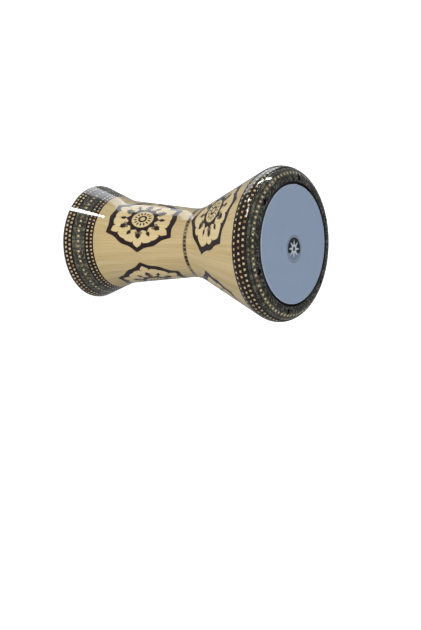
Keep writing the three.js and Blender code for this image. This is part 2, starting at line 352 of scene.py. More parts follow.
def paint(red: int, green: int, blue: int) -> Colour:
    """A colour as light, from its three everyday numbers between 0 and 255."""
    shares = (red / 255, green / 255, blue / 255)
    return tuple(v / 12.92 if v <= 0.04045 else ((v + 0.055) / 1.055) ** 2.4 for v in shares)


class Signal:
    """A number that varies over a surface, with the operators that the patterns use."""

    def __init__(self, bench: "Bench", socket: bpy.types.NodeSocket) -> None:
        """Wraps an output socket."""
        self.bench = bench
        self.socket = socket

    def _maths(self, operation: str, *values: "Signal | float") -> "Signal":
        """Adds one Math node."""
        return self.bench.node("ShaderNodeMath", {"operation": operation}, dict(enumerate(values)))

    def __add__(self, other: "Signal | float") -> "Signal":
        """Sum."""
        return self._maths("ADD", self, other)

    __radd__ = __add__

    def __sub__(self, other: "Signal | float") -> "Signal":
        """Difference."""
        return self._maths("SUBTRACT", self, other)

    def __rsub__(self, other: float) -> "Signal":
        """Difference from a number."""
        return self._maths("SUBTRACT", other, self)

    def __mul__(self, other: "Signal | float") -> "Signal":
        """Product."""
        return self._maths("MULTIPLY", self, other)

    __rmul__ = __mul__

    def __truediv__(self, other: "Signal | float") -> "Signal":
        """Quotient."""
        return self._maths("DIVIDE", self, other)

    def __abs__(self) -> "Signal":
        """Size without its sign."""
        return self._maths("ABSOLUTE", self)

    def __pow__(self, power: float) -> "Signal":
        """Power."""
        return self._maths("POWER", self, power)

    def floor(self) -> "Signal":
        """Whole part."""
        return self._maths("FLOOR", self)

    def fract(self) -> "Signal":
        """What is left over the whole part."""
        return self._maths("FRACT", self)

    def cos(self) -> "Signal":
        """Cosine."""
        return self._maths("COSINE", self)

    def sin(self) -> "Signal":
        """Sine."""
        return self._maths("SINE", self)

    def root(self) -> "Signal":
        """Square root."""
        return self._maths("SQRT", self)

    def most(self, other: "Signal | float") -> "Signal":
        """The larger of two."""
        return self._maths("MAXIMUM", self, other)

    def below(self, limit: "Signal | float", soft: float) -> "Signal":
        """1 where the signal is below a limit and 0 above it, over a soft edge."""
        return (0.5 - (self - limit) / (2 * soft)).clamped()

    def clamped(self) -> "Signal":
        """Held between 0 and 1."""
        return self.bench.node("ShaderNodeClamp", {}, {0: self})

    def between(self, low: float, high: float, soft: float) -> "Signal":
        """1 inside a range and 0 outside it."""
        return abs(self - (low + high) / 2).below((high - low) / 2, soft)


class Bench:
    """The nodes of one finish."""

    def __init__(self, name: str) -> None:
        """Starts a material with an empty shader.

        Args:
            name: the material's name.
        """
        self.material = bpy.data.materials.new(name)
        self.material.use_nodes = True
        self.tree = self.material.node_tree
        self.tree.nodes.clear()
        self.shader = self.tree.nodes.new("ShaderNodeBsdfPrincipled")
        output = self.tree.nodes.new("ShaderNodeOutputMaterial")
        self.tree.links.new(self.shader.outputs[0], output.inputs[0])

    def node(self, kind: str, settings: dict, inputs: dict, output: "int | str" = 0) -> Signal:
        """Adds a node.

        Args:
            kind: the node's type.
            settings: its options, set first.
            inputs: what each socket takes, by number or name: a value or a signal.
            output: the socket to return.

        Returns:
            The chosen output, as a signal.
        """
        node = self.tree.nodes.new(kind)
        for key, value in settings.items():
            setattr(node, key, value)
        for key, value in inputs.items():
            self.feed(node.inputs[key], value)
        return Signal(self, node.outputs[output])

    def feed(self, socket: bpy.types.NodeSocket, value: object) -> None:
        """Links a signal to a socket, or sets a plain value on it.

        Args:
            socket: the socket.
            value: the signal or the value; a colour is given without its alpha.
        """
        if isinstance(value, Signal):
            self.tree.links.new(value.socket, socket)
        elif isinstance(value, tuple) and len(value) == 3 and socket.type == "RGBA":
            socket.default_value = (*value, 1)
        else:
            socket.default_value = value

    def dress(self, **inputs: object) -> None:
        """Feeds the shader's sockets, with underscores for the spaces in their names."""
        for key, value in inputs.items():
            self.feed(self.shader.inputs[key.replace("_", " ")], value)

    def mix(self, share: "Signal | float", first: object, second: object) -> Signal:
        """Blends two colours: the first where share is 0, the second where it is 1."""
        return self.node("ShaderNodeMix", {"data_type": "RGBA"}, {0: share, 6: first, 7: second}, 2)

    def split(self, vector: Signal, *numbers: int) -> tuple[Signal, ...]:
        """The chosen numbers of a vector, the first being 0."""
        return tuple(self.node("ShaderNodeSeparateXYZ", {}, {0: vector}, k) for k in numbers)

    def layout(self) -> tuple[Signal, ...]:
        """The two numbers of the piece's own layout."""
        return self.split(self.node("ShaderNodeUVMap", {"uv_map": "layout"}, {}), 0, 1)

    def here(self) -> Signal:
        """The point's place on the drum, in metres, as a vector."""
        return self.node("ShaderNodeTexCoord", {}, {}, "Object")

    def place(self) -> tuple[Signal, ...]:
        """The point's place on the drum, in metres, as three numbers."""
        return self.split(self.here(), 0, 1, 2)

    def flakes(self, at: Signal, scale: float, number: int) -> Signal:
        """An even random number for each cell of a pattern of flakes."""
        cells = self.node("ShaderNodeTexVoronoi", {"feature": "F1"}, {"Vector": at, "Scale": scale}, "Color")
        return self.split(cells, number)[0]

    def bearing(self, ahead: Signal, aside: Signal) -> Signal:
        """Turns from the aside direction towards the ahead direction."""
        return self.node("ShaderNodeMath", {"operation": "ARCTAN2"}, {0: ahead, 1: aside}) / TURN

    def vector(self, x: object, y: object, z: object) -> Signal:
        """Three numbers as one vector."""
        return self.node("ShaderNodeCombineXYZ", {}, {0: x, 1: y, 2: z})

    def noise(self, at: Signal, scale: float, detail: float = 3.0, roughness: float = 0.55) -> Signal:
        """Soft noise around 0.5 at a vector."""
        return self.node("ShaderNodeTexNoise", {"noise_dimensions": "3D"},
                         {"Vector": at, "Scale": scale, "Detail": detail, "Roughness": roughness})

    def chance(self, x: object, y: object) -> Signal:
        """An even random number for each pair of whole numbers."""
        pair = self.vector(x, y, 0.37)
        return self.node("ShaderNodeTexWhiteNoise", {"noise_dimensions": "3D"}, {"Vector": pair}, "Value")

    def bump(self, height: Signal, depth: float, strength: float) -> Signal:
        """Small relief from a height."""
        values = {"Height": height, "Distance": depth, "Strength": strength}
        return self.node("ShaderNodeBump", {}, values, "Normal")


@dataclass(frozen=True)
class Lacquer:
    """The clear gloss coat over wood and mosaic, which leaves little gloss of their own."""

    weight: float = 1.0
    roughness: float = 0.045
    index: float = 1.52
    own_gloss: float = 0.05

    def over(self, bench: Bench) -> None:
        """Coats a finish."""
        bench.dress(Coat_Weight=self.weight, Coat_Roughness=self.roughness, Coat_IOR=self.index,
                    Specular_IOR_Level=self.own_gloss)


@dataclass(frozen=True)
class Grain:
    """One fineness of the wood's grain: how crowded it is round the drum and along it."""

    round: float
    along: float
    scale: float
    detail: float
    roughness: float = 0.55

    def over(self, bench: Bench, across: Signal, side: Signal, height: Signal) -> Signal:
        """Soft noise at a direction away from the axis and a height, drawn out along the drum."""
        at = bench.vector(across * self.round, side * self.round, height * self.along)
        return bench.noise(at, self.scale, self.detail, self.roughness)


@dataclass(frozen=True)
class Wood:
    """Straight-grained veneer whose grain runs along the drum."""

    pale: Colour = paint(211, 189, 142)
    deep: Colour = paint(189, 165, 116)
    streak: Colour = paint(158, 132, 90)
    broad: Grain = Grain(3, 1.6, 2.2, 3)
    bands: Grain = Grain(26, 2.4, 1.6, 4, 0.6)
    fine: Grain = Grain(150, 9, 1.3, 3, 0.65)
    pores: Grain = Grain(330, 46, 1.0, 2, 0.6)

    def ground(self, bench: Bench) -> tuple[Signal, Signal]:
        """Works out the bare wood.

        Args:
            bench: the finish's nodes.

        Returns:
            The wood's colour and its relief.
        """
        x, y, z = bench.place()
        away = (x * x + y * y).root().most(1e-4)
        across, side = x / away, y / away
        broad, bands, fine, pores = (
            grain.over(bench, across, side, z) for grain in (self.broad, self.bands, self.fine, self.pores))
        tone = bands * 0.62 + broad * 0.5 - 0.06
        colour = bench.mix(((tone - 0.42) * 4.2).clamped(), self.pale, self.deep)
        colour = bench.mix(((fine - 0.5) * 2.6).clamped() * 0.5, colour, self.streak)
        dark_pores = (1 - pores.below(0.64, 0.05)) * 0.4
        return bench.mix(dark_pores, colour, self.streak), fine * 0.6 + pores * 0.4


def veneer_finish(name: str, wood: Wood) -> bpy.types.Material:
    """Lacquered veneer.

    Args:
        name: the finish's name.
        wood: its wood.

    Returns:
        The finish.
    """
    bench = Bench(name)
    colour, relief = wood.ground(bench)
    bench.dress(Base_Color=colour, Roughness=0.42 + relief * 0.18, Normal=bench.bump(relief, 0.08 * MM, 0.5))
    Lacquer().over(bench)
    return bench.material


class Band(Enum):
    """What fills a band of the mosaic."""

    SQUARES = "pale squares on dark wood"
    SHELL = "mottled grey-green shell"
    DARK = "dark line"
    MOTTLED = "dark mottled edge"


@dataclass(frozen=True)
class Row:
    """One band of mosaic, between two arc lengths in millimetres."""

    band: Band
    low: float
    high: float
    count: int = 80
    width: float = 5.4
    framed: bool = True


@dataclass(frozen=True)
class Mosaic:
    """Small inlaid squares in bands round the drum, under lacquer."""

    name: str
    rows: tuple[Row, ...]
    circle: float  # a turn's length in millimetres, halfway along
    cream: Colour = paint(200, 180, 136)
    pearl: Colour = paint(220, 206, 170)
    rose: Colour = paint(150, 118, 80)
    brown: Colour = paint(34, 22, 15)
    umber: Colour = paint(40, 26, 18)
    black: Colour = paint(15, 13, 12)
    shell_pale: Colour = paint(116, 116, 102)
    shell_deep: Colour = paint(42, 43, 37)

    def finish(self) -> bpy.types.Material:
        """Builds the bands one over another.

        Returns:
            The finish.
        """
        bench = Bench(self.name)
        turns, along = bench.layout()
        here = bench.here()
        wobble = (bench.noise(here, 160, 2) - 0.5) * 0.5
        grain = bench.noise(here, 900, 2)
        ground = bench.mix((grain - 0.3).clamped(), self.brown, self.black)
        relief = grain * 0.1
        for number, row in enumerate(self.rows):
            inside = along.between(row.low, row.high, 0.12)
            if row.band is Band.SQUARES:
                ground, relief = self._squares(bench, number, row, turns, along + wobble, ground, relief)
            elif row.band is Band.SHELL:
                ground = bench.mix(inside, ground, self._shell(bench, number, row, turns, here))
            elif row.band is Band.MOTTLED:
                ground = bench.mix(inside, ground, self._mottled(bench, turns, along, here))
            else:
                ground = bench.mix(inside, ground, self.black)
        bench.dress(Base_Color=ground, Roughness=0.34 + grain * 0.1,
                    Normal=bench.bump(relief, 0.12 * MM, 0.5))
        Lacquer().over(bench)
        return bench.material

    def _squares(self, bench: Bench, number: int, row: Row, turns: Signal, along: Signal,
                 ground: Signal, relief: Signal) -> tuple[Signal, Signal]:
        """Lays one row of squares, each with its own tone and a little out of line.

        Args:
            bench: the finish's nodes.
            number: the row's number, so that no two rows are alike.
            row: its place and its count.
            turns: turns round the drum.
            along: arc length in millimetres.
            ground: the colour so far.
            relief: the relief so far.

        Returns:
            The colour and the relief with the row laid.
        """
        pitch = self.circle / row.count
        cell = turns * row.count + 0.31 * number
        which = cell.floor()
        luck = bench.chance(which, number * 7.0 + 1)
        shift = (bench.chance(which, number * 7.0 + 4) - 0.5) * 0.5
        sideways = abs((cell.fract() - 0.5) * pitch + shift) - row.width / 2
        lengthways = abs(along - (row.low + row.high) / 2) - (row.high - row.low) / 2
        edge = sideways.most(lengthways)
        tile = edge.below(0.0, 0.16)
        core = edge.below(-0.85, 0.35)
        tone = bench.mix(luck, self.cream, self.pearl)
        tone = bench.mix((luck * 7).fract().below(0.12, 0.02), tone, self.rose)
        tone = bench.mix((1 - core) * 0.42, tone, self.rose)
        if row.framed:
            ground = bench.mix(along.between(row.low - 0.9, row.high + 0.9, 0.15), ground, self.umber)
        outline = edge.between(0.0, 0.55, 0.12)
        ground = bench.mix(outline * 0.8, ground, self.black)
        return bench.mix(tile, ground, tone), relief + tile * 0.6

    def _shell(self, bench: Bench, number: int, row: Row, turns: Signal, here: Signal) -> Signal:
        """A row of shell tiles: each has its own tone, pale flecks and a dark joint.

        Args:
            bench: the finish's nodes.
            number: the row's number, so that no two rows are alike.
            row: its place and its count.
            turns: turns round the drum.
            here: the point on the drum.

        Returns:
            The row's colour.
        """
        cell = turns * row.count + 0.31 * number
        luck = bench.chance(cell.floor(), number * 7.0 + 2)
        joint = (abs(cell.fract() - 0.5) - 0.5) * (self.circle / row.count) + 0.55
        cloud = bench.noise(here, 260, 3)
        tone = bench.flakes(here, 330.0, 0)
        colour = bench.mix((luck * 0.5 + cloud * 0.9 - 0.38).clamped(), self.shell_deep, self.shell_pale)
        colour = bench.mix((1 - tone.below(0.86, 0.05)) * 0.3, colour, self.cream)
        return bench.mix((1 - joint.below(0.0, 0.2)) * 0.75, colour, self.black)

    def _mottled(self, bench: Bench, turns: Signal, along: Signal, here: Signal) -> Signal:
        """The dark edge next to the head: black with brown and green flecks in short rows.

        Args:
            bench: the finish's nodes.
            turns: turns round the drum.
            along: arc length in millimetres.
            here: the point on the drum.

        Returns:
            The edge's colour.
        """
        at = bench.vector(turns * (self.circle * 0.3), along * 0.3, 2.0)
        tone = bench.flakes(at, 1.0, 1)
        cloud = bench.noise(here, 330, 3)
        colour = bench.mix((tone * 0.6 + cloud * 0.9 - 0.45).clamped(), self.black, self.shell_deep)
        return bench.mix((1 - tone.below(0.66, 0.06)) * 0.55, colour, self.shell_pale)


FOOT_ROWS = (
    Row(Band.SQUARES, 5.2, 9.0, 80, 4.1), Row(Band.SQUARES, 12.6, 16.6, 78, 4.1), Row(Band.DARK, 18.2, 19.8),
    Row(Band.SHELL, 20.2, 45.2, 78), Row(Band.DARK, 26.4, 27.2), Row(Band.DARK, 38.2, 39.0),
    Row(Band.SQUARES, 30.6, 34.8, 63, 4.3, framed=False), Row(Band.DARK, 45.2, 46.6),
    Row(Band.SQUARES, 48.6, 52.2, 76, 3.8), Row(Band.SQUARES, 56.8, 60.4, 78, 3.8),
)
BOWL_ROWS = (
    Row(Band.SQUARES, 30.6, 34.8, 84, 4.2), Row(Band.SQUARES, 42.0, 46.0, 84, 4.2),
    Row(Band.SQUARES, 50.6, 54.6, 84, 4.2),
)
RING_ROWS = (
    Row(Band.SHELL, 60.3, 78.2, 84), Row(Band.DARK, 65.8, 67.2),
    Row(Band.SQUARES, 69.8, 74.0, 78, 4.3, framed=False), Row(Band.DARK, 76.6, 77.8),
    Row(Band.MOTTLED, 78.2, 95.0),
)


@dataclass(frozen=True)
class NeckSquares:
    """The narrow ring at the neck: dark squares between pale ones, in millimetres."""

    middle: float
    count: int = 55
    circle: float = 425.0
    half_width: float = 2.9
    half_height: float = 3.3
    joint: float = 3.5
    border: float = 3.9
    dark: Colour = paint(38, 27, 23)
    pale: Colour = paint(206, 186, 148)
    warm: Colour = paint(140, 104, 78)

    def finish(self) -> bpy.types.Material:
        """Builds the finish from the place within each cell and the distance from the ring's middle.

        Returns:
            The finish.
        """
        bench = Bench("neck_squares")
        turns, along = bench.layout()
        cell = turns * self.count
        which = cell.floor()
        luck = bench.chance(which, 3.0)
        sideways = abs(cell.fract() - 0.5) * (self.circle / self.count)
        from_middle = abs(along - self.middle)
        ground = bench.mix(luck, self.pale, self.warm)
        ground = bench.mix((1 - sideways.below(self.joint, 0.1)) * 0.6, ground, self.warm)
        square = sideways.below(self.half_width, 0.15) * from_middle.below(self.half_height, 0.15)
        tone = bench.mix(square * (0.75 + luck * 0.25), ground, self.dark)
        border = 1 - from_middle.below(self.border, 0.15)
        tone = bench.mix(border * 0.8, tone, self.dark)
        grain = bench.noise(bench.here(), 700, 2)
        bench.dress(Base_Color=tone, Roughness=0.36 + grain * 0.1)
        Lacquer().over(bench)
        return bench.material


@dataclass(frozen=True)
class MedallionInk:
    """The medallion's dark ornament on pale wood: an edge with lobes, and a rose with twelve buds."""

    ink: Colour = paint(42, 24, 24)
    wood: Wood = Wood(paint(228, 207, 158), paint(212, 187, 136), paint(188, 158, 108))
    soot: Colour = paint(28, 16, 18)
    edge: float = 0.175
    lobe: float = 0.034
    tooth: float = 0.06
    eye: tuple[float, float] = (0.062, 0.115)
    dashes: int = 14
    dash_reach: float = 0.19
    dash_half: tuple[float, float] = (0.058, 0.025)
    ring: tuple[float, float] = (0.28, 0.352)
    bud_base: tuple[float, float] = (0.33, 0.44)
    stem: tuple[float, float] = (0.34, 0.52)
    stem_half: float = 0.019
    tip: float = 0.528
    tip_half: tuple[float, float] = (0.08, 0.05)
    arm: float = 0.478
    arm_half: tuple[float, float] = (0.02, 0.05)
    curl: tuple[float, float] = (0.44, 0.058)
    curl_ring: tuple[float, float] = (0.012, 0.036)

    def finish(self, name: str) -> bpy.types.Material:
        """Builds the finish.

        Args:
            name: the finish's name.

        Returns:
            The finish; its layout is the flat place on the medallion, 1 at the corners.
        """
        bench = Bench(name)
        colour, relief = self.wood.ground(bench)
        p, q = bench.layout()
        here = bench.here()
        rough = (bench.noise(here, 260, 3) - 0.5) * 0.012
        reach = (p * p + q * q).root() + rough
        turn = bench.bearing(q, p)
        out = bench.node("ShaderNodeAttribute", {"attribute_name": "rim"}, {}, "Fac") + rough
        shape = self._edge(out, turn).most(self._rose(reach, turn)).most(self._buds(reach, turn))
        ink = bench.mix(bench.noise(here, 1300, 2), self.ink, self.soot)
        bench.dress(Base_Color=bench.mix(shape * 0.995, colour, ink), Roughness=0.42 + relief * 0.15,
                    Normal=bench.bump(relief, 0.08 * MM, 0.4))
        Lacquer().over(bench)
        return bench.material

    def _edge(self, out: Signal, turn: Signal) -> Signal:
        """The dark edge: three lobes to a side, with a tooth between each two.

        Args:
            out: share of the way from the middle to the outline.
            turn: turns round the medallion's middle.

        Returns:
            1 on the edge.
        """
        side = (turn * 6).fract()
        lobes = abs((side * (3 * math.pi)).sin())
        tooth = abs((side * 3).fract() - 0.5)
        spike = ((tooth - 0.4) * 10).clamped() * side.between(0.2, 0.8, 0.02)
        inner = 1 - self.edge + lobes * self.lobe - spike * self.tooth
        return 1 - out.below(inner, 0.008)

    def _rose(self, reach: Signal, turn: Signal) -> Signal:
        """The rose: a ring round its eye, a circle of dashes, and the ring that carries the buds.

        Args:
            reach: how far from the medallion's middle, 1 at the corners.
            turn: turns round its middle.

        Returns:
            1 on the rose.
        """
        eye = reach.between(*self.eye, 0.008)
        across = ((turn * self.dashes).fract() - 0.5) * (TURN / self.dashes)
        half_length, half_width = self.dash_half
        dash = abs(across) * reach / half_width + abs(reach - self.dash_reach) / half_length
        ring = reach.between(*self.ring, 0.008)
        return eye.most(dash.below(1.0, 0.14)).most(ring)

    def _buds(self, reach: Signal, turn: Signal) -> Signal:
        """Twelve buds on the ring: slim ones, and between them broad ones with a curl at each side.

        Each is drawn along its own axis: how far ahead of the medallion's middle a point is, and
        how far aside of the axis.

        Args:
            reach: how far from the medallion's middle, 1 at the corners.
            turn: turns round its middle.

        Returns:
            1 on the buds.
        """
        cell = turn * 12 + 0.5
        lean = (cell.fract() - 0.5) * (TURN / 12)
        broad = ((cell.floor() + 24) / 2).fract() * 2
        ahead, aside = reach * lean.cos(), abs(reach * lean.sin())
        slope = (aside - (self.bud_base[1] - ahead) * 1.05).below(0.0, 0.01)
        base = slope * ahead.between(*self.bud_base, 0.01)
        stem = aside.below(self.stem_half, 0.006) * ahead.between(*self.stem, 0.01)
        length, width = self.tip_half
        from_tip = abs(ahead - self.tip - broad * 0.012)
        tip = (from_tip / length + aside / (width + broad * 0.03)).below(1.0, 0.14)
        width, length = self.arm_half
        from_arm = abs(ahead - self.arm - aside * 0.3)
        arm = from_arm.below(width, 0.007) * aside.below(length + broad * 0.025, 0.008)
        curl_reach = ((ahead - self.curl[0]) ** 2.0 + (aside - self.curl[1]) ** 2.0).root()
        curl = curl_reach.between(*self.curl_ring, 0.006) * broad
        return base.most(stem).most(tip).most(arm).most(curl)


@dataclass(frozen=True)
class Metal:
    """A bare metal, cast or worked."""

    name: str
    colour: Colour
    shade: Colour
    roughness: float
    grain: float
    relief: float
    metallic: float = 1.0

    def finish(self) -> bpy.types.Material:
        """Builds patchy tone, fine grain and a little relief.

        Returns:
            The finish.
        """
        bench = Bench(self.name)
        here = bench.here()
        patch = bench.noise(here, 18, 3)
        grain = bench.noise(here, self.grain, 3)
        colour = bench.mix((patch * 0.8 + grain * 0.5 - 0.3).clamped(), self.colour, self.shade)
        roughness = (self.roughness + (grain - 0.5) * 0.25).clamped()
        bench.dress(Base_Color=colour, Metallic=self.metallic, Roughness=roughness,
                    Normal=bench.bump(grain, self.relief, 0.6))
        return bench.material


@dataclass(frozen=True)
class FilmFinish:
    """The plastic head: satin, faintly mottled, with a plain printed roundel, and painted light and shade
    where it bends down.
    """

    film: Colour = paint(157, 172, 194)
    cloud: Colour = paint(146, 161, 184)
    # painted shade: the dark of the gap under the ring's lip, painted on the film where it bends down
    bare: Colour = paint(44, 48, 54)
    print_dark: Colour = paint(24, 25, 30)
    print_grey: Colour = paint(120, 132, 150)
    # pale of the print, also used for the painted highlight along the bend
    print_pale: Colour = paint(206, 214, 224)
    gloss: float = 0.25
    worn: tuple[float, float] = (0.35, 1.1)  # millimetres down the bend; between them a painted highlight, below them painted shade
    towards: float = math.radians(36.4)
    offset: float = 8.5 * MM
    size: float = 25 * MM

    def finish(self) -> bpy.types.Material:
        """Builds the film: cloudy, with a painted highlight along its bend and painted shade below it, where
        it goes down into the gap.

        Returns:
            The finish.
        """
        bench = Bench("head_film_satin")
        x, y, z = bench.place()
        here = bench.here()
        cloud = bench.noise(here, 14, 2)
        colour = self._roundel(bench, x, y, bench.mix(cloud, self.film, self.cloud))
        drop = (OUTLINE.height - z) / MM
        # painted highlight: a pale line where the bend catches the light
        colour = bench.mix(drop.between(*self.worn, 0.2) * 0.7, colour, self.print_pale)
        # painted shade: the film goes dark below the bend, where it drops into the gap under the ring's lip
        colour = bench.mix((1 - drop.below(self.worn[1], 0.15)) * 0.9, colour, self.bare)
        fine = bench.noise(here, 1500, 2)
        bench.dress(Base_Color=colour, Roughness=0.4 + cloud * 0.08, Specular_IOR_Level=self.gloss,
                    Normal=bench.bump(fine, 0.02 * MM, 0.4))
        return bench.material

    def _roundel(self, bench: Bench, x: Signal, y: Signal, film: Signal) -> Signal:
        """Prints the roundel: a thin circle, a dark half with a pale eight-leafed rose, a grey half.

        Args:
            bench: the finish's nodes.
            x: the point's place.
            y: the point's place.
            film: the film's own colour.

        Returns:
            The colour with the print on it.
        """
        down_x, down_y = math.cos(self.towards), math.sin(self.towards)
        along = (x * down_x + y * down_y - self.offset) / self.size
        across = (x * down_y - y * down_x) / self.size
        reach = (along * along + across * across).root()
        leaf = abs((bench.bearing(along, across) * 8).fract() - 0.5) * 2
        rose = reach.below(0.3 + leaf * leaf * 0.42, 0.02)
        eye = reach.below(0.17, 0.015)
        disc = reach.below(0.86, 0.012)
        lower = 1 - along.below(0.3, 0.03)
        colour = bench.mix(disc * 0.98, film, bench.mix(lower, self.print_dark, self.print_grey))
        colour = bench.mix(reach.between(0.95, 1.0, 0.008) * 0.75, colour, self.print_dark)
        colour = bench.mix(rose * 0.9, colour, self.print_pale)
        return bench.mix(eye * 0.9, colour, self.print_dark)


# ---- Sub-assemblies ------------------------------------------------------------------------------


def show(piece: bpy.types.Object, finish: bpy.types.Material, body: str, node: str) -> None:
    """Dresses a piece, lets it ride on its body and stand for its CAD node.

    Args:
        piece: the new object.
        finish: its material.
        body: the CAD body that it rides on.
        node: the CAD node that it stands for.
    """
    piece.data.materials.clear()
    piece.data.materials.append(finish)
    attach(piece, body)
    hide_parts(node)
    log.info("%s: %d faces, rides on %s", piece.name, len(piece.data.polygons), body)


@dataclass
class Casting:
    """The cast shell, with its foot lip, the ledge under the ring and the edge under the head."""

    bed: float = 1.4 * MM
    wall: float = 3.6 * MM
    lip_width: float = 8.4 * MM
    lip_height: float = 2.7 * MM
    lip_rounding: float = 1.5 * MM
    bearing_radius: float = 110.4 * MM
    bearing_wall: float = 4 * MM
    bend: tuple[float, float] = (108 * MM, 462.5 * MM)
    bend_radius: float = 2.4 * MM
    channel_radius: float = 117.7 * MM
    channel_floor: float = 446.2 * MM
    ledge_underside: float = 441.2 * MM
    boss_radius: float = 8.3 * MM
    boss_dish: float = 1.2 * MM
    boss_rounding: float = 1.5 * MM
    boss_sunk: float = 4 * MM

    def profile(self) -> np.ndarray:
        """The casting's section: the outline moved inwards, with the lip and the head's edge added.

        Returns:
            (n, 2) of radius and height, closed.
        """
        seam = OUTLINE.seam[0]
        foot, low = OUTLINE.foot
        outside = OUTLINE.stretch(low, seam - 0.2 * MM, self.bed)
        inside = OUTLINE.stretch(low, self.ledge_underside, self.bed + self.wall)[::-1]
        edge = arc(self.bend, self.bend_radius, 0, 90, 8)
        bend = self.lip_rounding
        lip = arc((foot - bend, bend), bend, -90, 0, 8)
        inner_lip = arc((foot - self.lip_width + bend, bend), bend, 180, 270, 6)
        bearing_inside = self.bearing_radius - self.bearing_wall
        return closed(
            lip, (foot, self.lip_height), (outside[0, 0], self.lip_height), outside[2:],
            (outside[-1, 0] - 1 * MM, seam), (self.channel_radius, seam),
            (self.channel_radius, self.channel_floor), (self.bearing_radius, self.channel_floor), edge,
            (bearing_inside, self.bend[1]), (bearing_inside, self.ledge_underside), inside, inner_lip,
        )

    def build(self, finish: bpy.types.Material) -> None:
        """Makes the casting and the bosses that hang under its ledge.

        Args:
            finish: its metal.
        """
        sheet = turned(refined(self.profile(), 4 * MM), 192)
        bottom, top = BOSS_BOTTOM, self.ledge_underside + self.boss_sunk
        out, rounding = self.boss_radius, self.boss_rounding
        boss = turned(path((0, bottom + self.boss_dish), (out - rounding, bottom),
                           (out, bottom + rounding), (out, top), (0, top)), 32)
        for angle in SCREW_ANGLES:
            sheet = sheet + boss.moved(SCREW_CIRCLE, angle)
        show(put_in_blender("cast_shell", sheet), finish, "drum", "shell")


@dataclass
class Skins:
    """The lacquered skins on the casting: mosaic bands, veneer, the neck ring and the medallions."""

    thickness: float = 1 * MM
    foot_top: float = 59 * MM
    neck: tuple[float, float] = (260 * MM, 269.5 * MM)
    bowl_top: float = 422.5 * MM
    hair: float = 0.05 * MM
    foot_arc: float = 3.3
    foot_circle: float = 640.0
    bowl_arc: float = 26.0
    bowl_circle: float = 895.0

    def band(self, low: float, high: float, first_arc: float) -> Sheet:
        """A closed skin between two heights."""
        outer = OUTLINE.stretch(low, high)
        inner = OUTLINE.stretch(low, high, self.thickness)[::-1]
        return turned(closed(outer, inner), 256, first_arc=first_arc)

    def build(self) -> None:
        """Makes the bands, then the veneers with their medallions."""
        hair = self.hair
        for name, low, high, first_arc, rows, circle in (
            ("foot", OUTLINE.foot[1], self.foot_top - hair, self.foot_arc, FOOT_ROWS, self.foot_circle),
            ("bowl", self.bowl_top + hair, OUTLINE.seam[0], self.bowl_arc, BOWL_ROWS, self.bowl_circle),
        ):
            band = put_in_blender(f"{name}_band", self.band(low, high, first_arc))
            squares = Mosaic(f"{name}_mosaic_squares", rows, circle).finish()
            show(band, squares, "drum", f"{name}_mosaic")
        low, high = self.neck
        neck = put_in_blender("neck_band", self.band(low + hair, high - hair, 0.0))
        steps = np.diff(OUTLINE.stretch(low + hair, high - hair), axis=0)
        middle = float(np.hypot(*steps.T).sum()) / MM / 2
        show(neck, NeckSquares(middle).finish(), "drum", "neck_ring")
        wood = veneer_finish("veneer", Wood())
        for row in (
            Medallions("tube", height=158 * MM, along=86.0, round=68.0, first_corner=90.0,
                       veneer=(self.foot_top, low)),
            Medallions("bowl", height=341 * MM, along=76.0, round=90.0, first_corner=0.0,
                       veneer=(high, self.bowl_top)),
        ):
            row.build(wood, self.thickness, hair)


